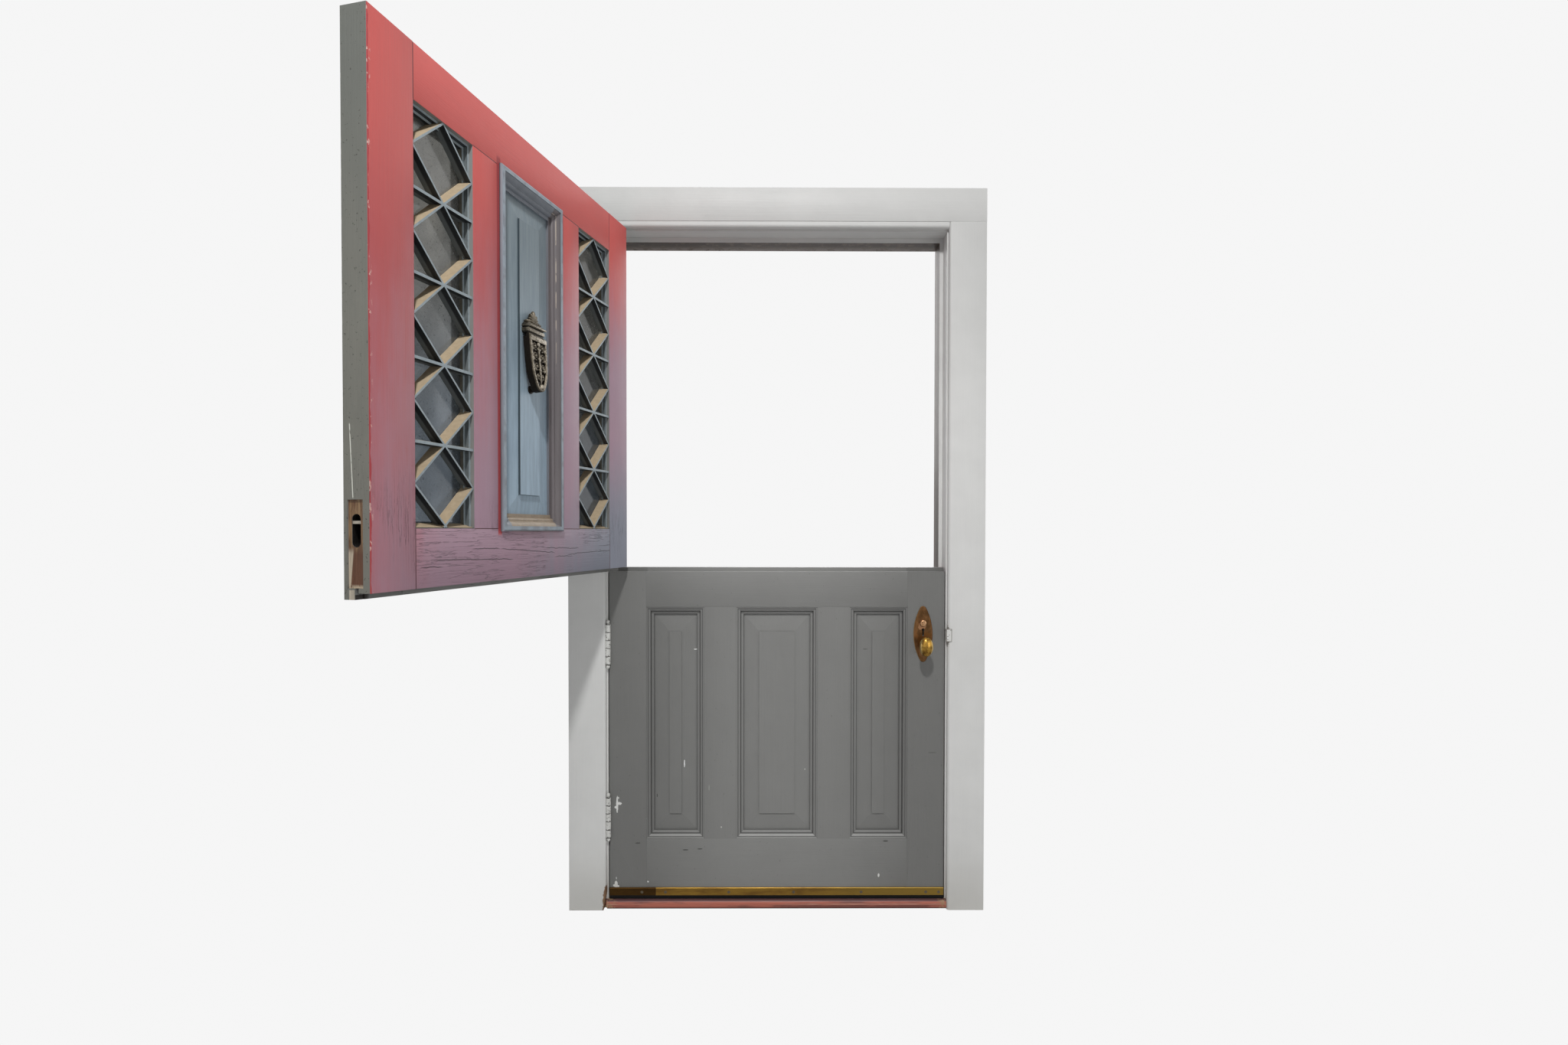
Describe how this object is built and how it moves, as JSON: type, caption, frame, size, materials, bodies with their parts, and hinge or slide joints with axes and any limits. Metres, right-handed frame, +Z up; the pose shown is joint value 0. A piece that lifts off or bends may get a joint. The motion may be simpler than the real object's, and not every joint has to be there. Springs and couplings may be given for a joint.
{
  "type": "dutch stable door",
  "caption": "Timber stable door in its painted frame, split across the middle, the lower leaf shut and the upper leaf with diamond lights standing open.",
  "frame": {"origin": "on the floor, in the middle of the door's width, on the plane of the leaves' indoor faces, at the underside of the sill", "axes": "+X to the right seen from indoors, +Y outdoors, +Z up"},
  "size_m": [1.4415, 1.227, 2.279],
  "materials": {
    "white_paint": "old brushed gloss paint",
    "stop_brown": "dark brown paint, white on the indoor edge",
    "sill_red": "worn red-brown paint",
    "red_paint": "brushed red paint, bloomed towards the foot",
    "blue_paint": "brushed blue-grey paint",
    "grey_paint": "brushed warm grey paint",
    "pane_glass": "clear, a little wavy",
    "hinge_steel": "painted over, chipped",
    "screw_steel": "dull",
    "strip_brass": "tarnished",
    "seal_rubber": "matt black",
    "escutcheon_brass": "brown patina, worn bright in places",
    "knob_brass": "hand polished",
    "lock_iron": "oiled",
    "bolt_steel": "worn",
    "knocker_bronze": "brown patina with rubbed highlights"
  },
  "bodies": {
    "frame": {"sill": "sill_red", "jamb_left": "white_paint", "jamb_right": "white_paint", "head_jamb": "white_paint", "stop_left": "stop_brown", "stop_right": "stop_brown", "stop_head": "stop_brown", "casing_left": "white_paint", "casing_right": "white_paint", "casing_head": "white_paint", "casing_band": "white_paint", "strike_plate": "hinge_steel", "hinge_plates_frame": "hinge_steel", "hinge_pins": "hinge_steel", "screws_frame": "screw_steel"},
    "lower_leaf": {"lower_hinge_stile": "grey_paint", "lower_lock_stile": "grey_paint", "lower_top_rail": "grey_paint", "lower_bottom_rail": "grey_paint", "lower_mullion_hinge_side": "grey_paint", "lower_mullion_lock_side": "grey_paint", "lower_panel_hinge_side": "grey_paint", "lower_panel_centre": "grey_paint", "lower_panel_lock_side": "grey_paint", "lower_mouldings_indoor": "grey_paint", "lower_mouldings_outdoor": "blue_paint", "hinge_plates_lower": "hinge_steel", "screws_lower": "strip_brass", "sweep_strip": "strip_brass", "sweep_seal": "seal_rubber", "escutcheon_indoor": "escutcheon_brass", "escutcheon_outdoor": "escutcheon_brass", "lock_case": "lock_iron", "lock_faceplate": "escutcheon_brass"},
    "upper_leaf": {"upper_hinge_stile": "red_paint", "upper_lock_stile": "red_paint", "upper_top_rail": "red_paint", "upper_bottom_rail": "red_paint", "upper_mullion_hinge_side": "red_paint", "upper_mullion_lock_side": "red_paint", "upper_panel": "blue_paint", "upper_panel_moulding_indoor": "grey_paint", "upper_panel_moulding_outdoor": "blue_paint", "light_surrounds": "blue_paint", "light_beads_indoor": "grey_paint", "lattice_hinge_side": "blue_paint", "lattice_lock_side": "blue_paint", "glass_panes": "pane_glass", "hinge_plates_upper": "hinge_steel", "screws_upper": "screw_steel", "slot_bar": "bolt_steel", "knocker_plate": "knocker_bronze", "knocker_pin": "knocker_bronze"},
    "knocker_striker": {"knocker_striker": "knocker_bronze"},
    "knobs": {"knob_outdoor": "knob_brass", "knob_indoor": "knob_brass"},
    "turn": {"turn": "knob_brass"},
    "latch_bolt": {"latch_bolt": "bolt_steel"},
    "deadbolt": {"deadbolt": "bolt_steel"}
  },
  "joints": [
    {"name": "upper_leaf_hinge", "type": "hinge", "parent": "frame", "child": "upper_leaf", "pos_m": [-0.535, -0.0095, 1.6], "axis": [0, 0, -1], "range_deg": [-104, 66]},
    {"name": "lower_leaf_hinge", "type": "hinge", "parent": "frame", "child": "lower_leaf", "pos_m": [-0.535, -0.0095, 0.56], "axis": [0, 0, -1], "range_deg": [0, 103]},
    {"name": "knocker_swing", "type": "hinge", "parent": "upper_leaf", "child": "knocker_striker", "pos_m": [-0.59117, -0.54687, 1.677], "axis": [-0.2419, -0.9703, 0], "range_deg": [0, 60]},
    {"name": "knob_turn", "type": "hinge", "parent": "lower_leaf", "child": "knobs", "pos_m": [0.465, 0, 0.844], "axis": [0, 1, 0], "range_deg": [0, 45]},
    {"name": "latch_slide", "type": "slide", "parent": "lower_leaf", "child": "latch_bolt", "axis": [1, 0, 0], "range_m": [0, 0.012]},
    {"name": "turn_swivel", "type": "hinge", "parent": "lower_leaf", "child": "turn", "pos_m": [0.465, 0, 0.911], "axis": [0, 1, 0], "range_deg": [0, 90]},
    {"name": "deadbolt_slide", "type": "slide", "parent": "lower_leaf", "child": "deadbolt", "axis": [1, 0, 0], "range_m": [0, 0.02]}
  ],
  "couplings": [
    {"joint": "latch_slide", "follows": "knob_turn", "m_per_rad": 0.015278},
    {"joint": "deadbolt_slide", "follows": "turn_swivel", "m_per_rad": 0.012731}
  ]
}
